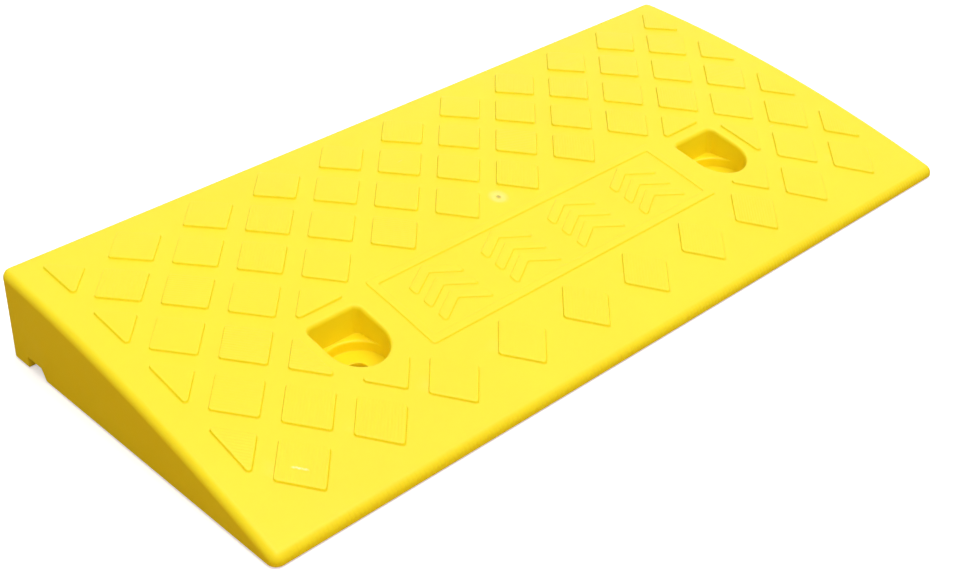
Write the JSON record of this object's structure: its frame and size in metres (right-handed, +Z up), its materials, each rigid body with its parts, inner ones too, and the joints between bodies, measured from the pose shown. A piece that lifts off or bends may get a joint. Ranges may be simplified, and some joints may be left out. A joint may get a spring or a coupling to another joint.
{
  "type": "kerb ramp",
  "caption": "Yellow moulded plastic kerb ramp: a crowned wedge with a raised diamond tread, counterbored anchor pockets, a ribbed hollow underside and press-in rubber feet.",
  "frame": {"origin": "centre of the footprint on the ground, under the feet", "axes": "+X along the length, +Y up the slope towards the high rear wall, +Z up"},
  "size_m": [0.49, 0.218, 0.0514],
  "materials": {
    "ramp_plastic": "moulded yellow polypropylene, satin with a fine moulded grain",
    "foot_rubber": "matt black rubber"
  },
  "bodies": {
    "root": {"ramp_body": "ramp_plastic", "foot_front_1": "foot_rubber", "foot_front_2": "foot_rubber", "foot_front_3": "foot_rubber", "foot_front_4": "foot_rubber", "foot_rear_1": "foot_rubber", "foot_rear_2": "foot_rubber", "foot_rear_3": "foot_rubber", "foot_rear_4": "foot_rubber"}
  },
  "joints": []
}
